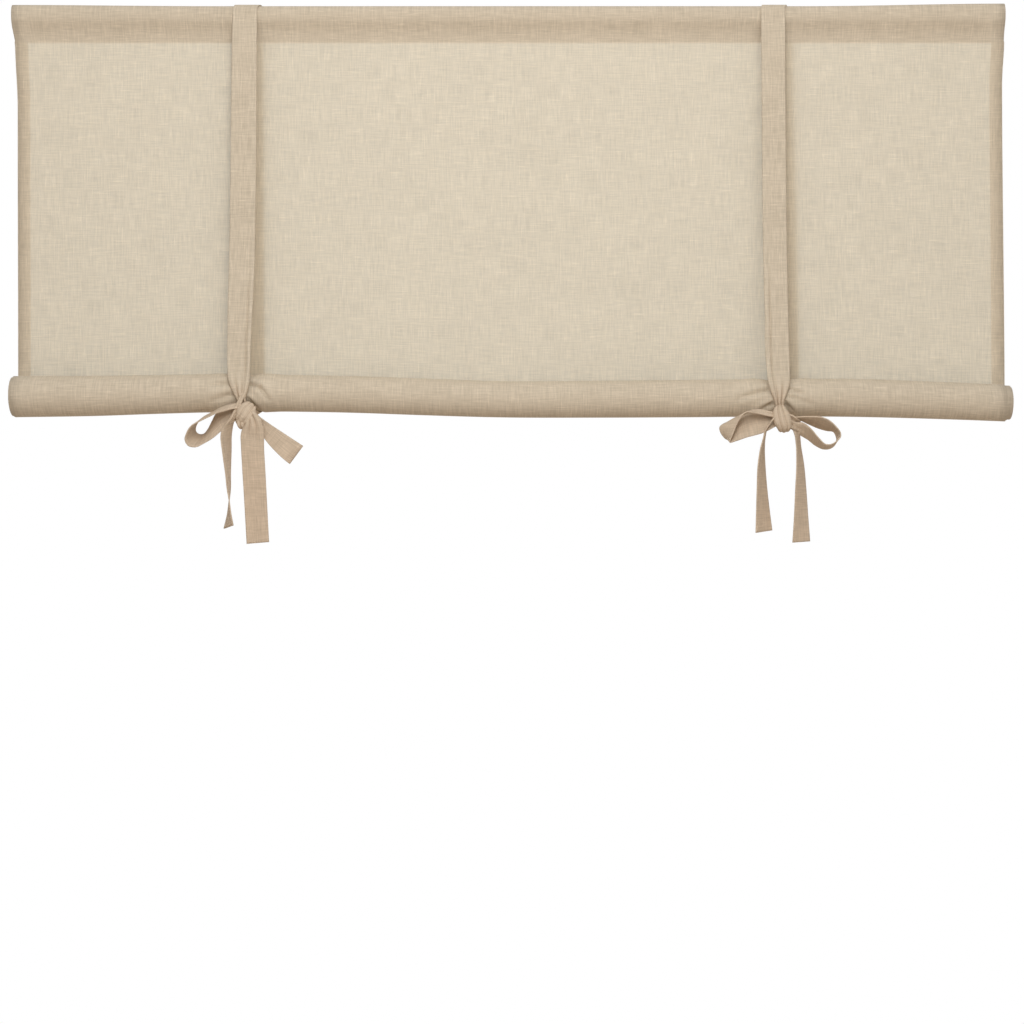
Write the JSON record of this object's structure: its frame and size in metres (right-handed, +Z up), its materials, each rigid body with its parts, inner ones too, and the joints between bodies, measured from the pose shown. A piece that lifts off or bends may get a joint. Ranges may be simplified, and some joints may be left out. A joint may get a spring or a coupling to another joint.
{
  "type": "tie-up blind",
  "caption": "Linen-look tie-up blind, half raised: cloth panel with a header pocket and tube, rolled up at the foot and held by cloth straps tied in bows.",
  "frame": {"origin": "middle of the header tube's axis", "axes": "+X along the header tube, to the right as seen from the room; -Y towards the room; +Z up"},
  "size_m": [1.01, 0.056, 0.5452],
  "materials": {
    "panel_cloth": "natural beige slub weave, matt, lets light through",
    "tie_cloth": "natural beige slub weave, double layer, matt",
    "tube_metal": "mill finish",
    "rod_wood": "plain sanded dowel"
  },
  "bodies": {
    "root": {"fabric_panel": "panel_cloth", "header_tube": "tube_metal", "bottom_rod": "rod_wood", "tie_left": "tie_cloth", "tie_right": "tie_cloth"}
  },
  "joints": []
}
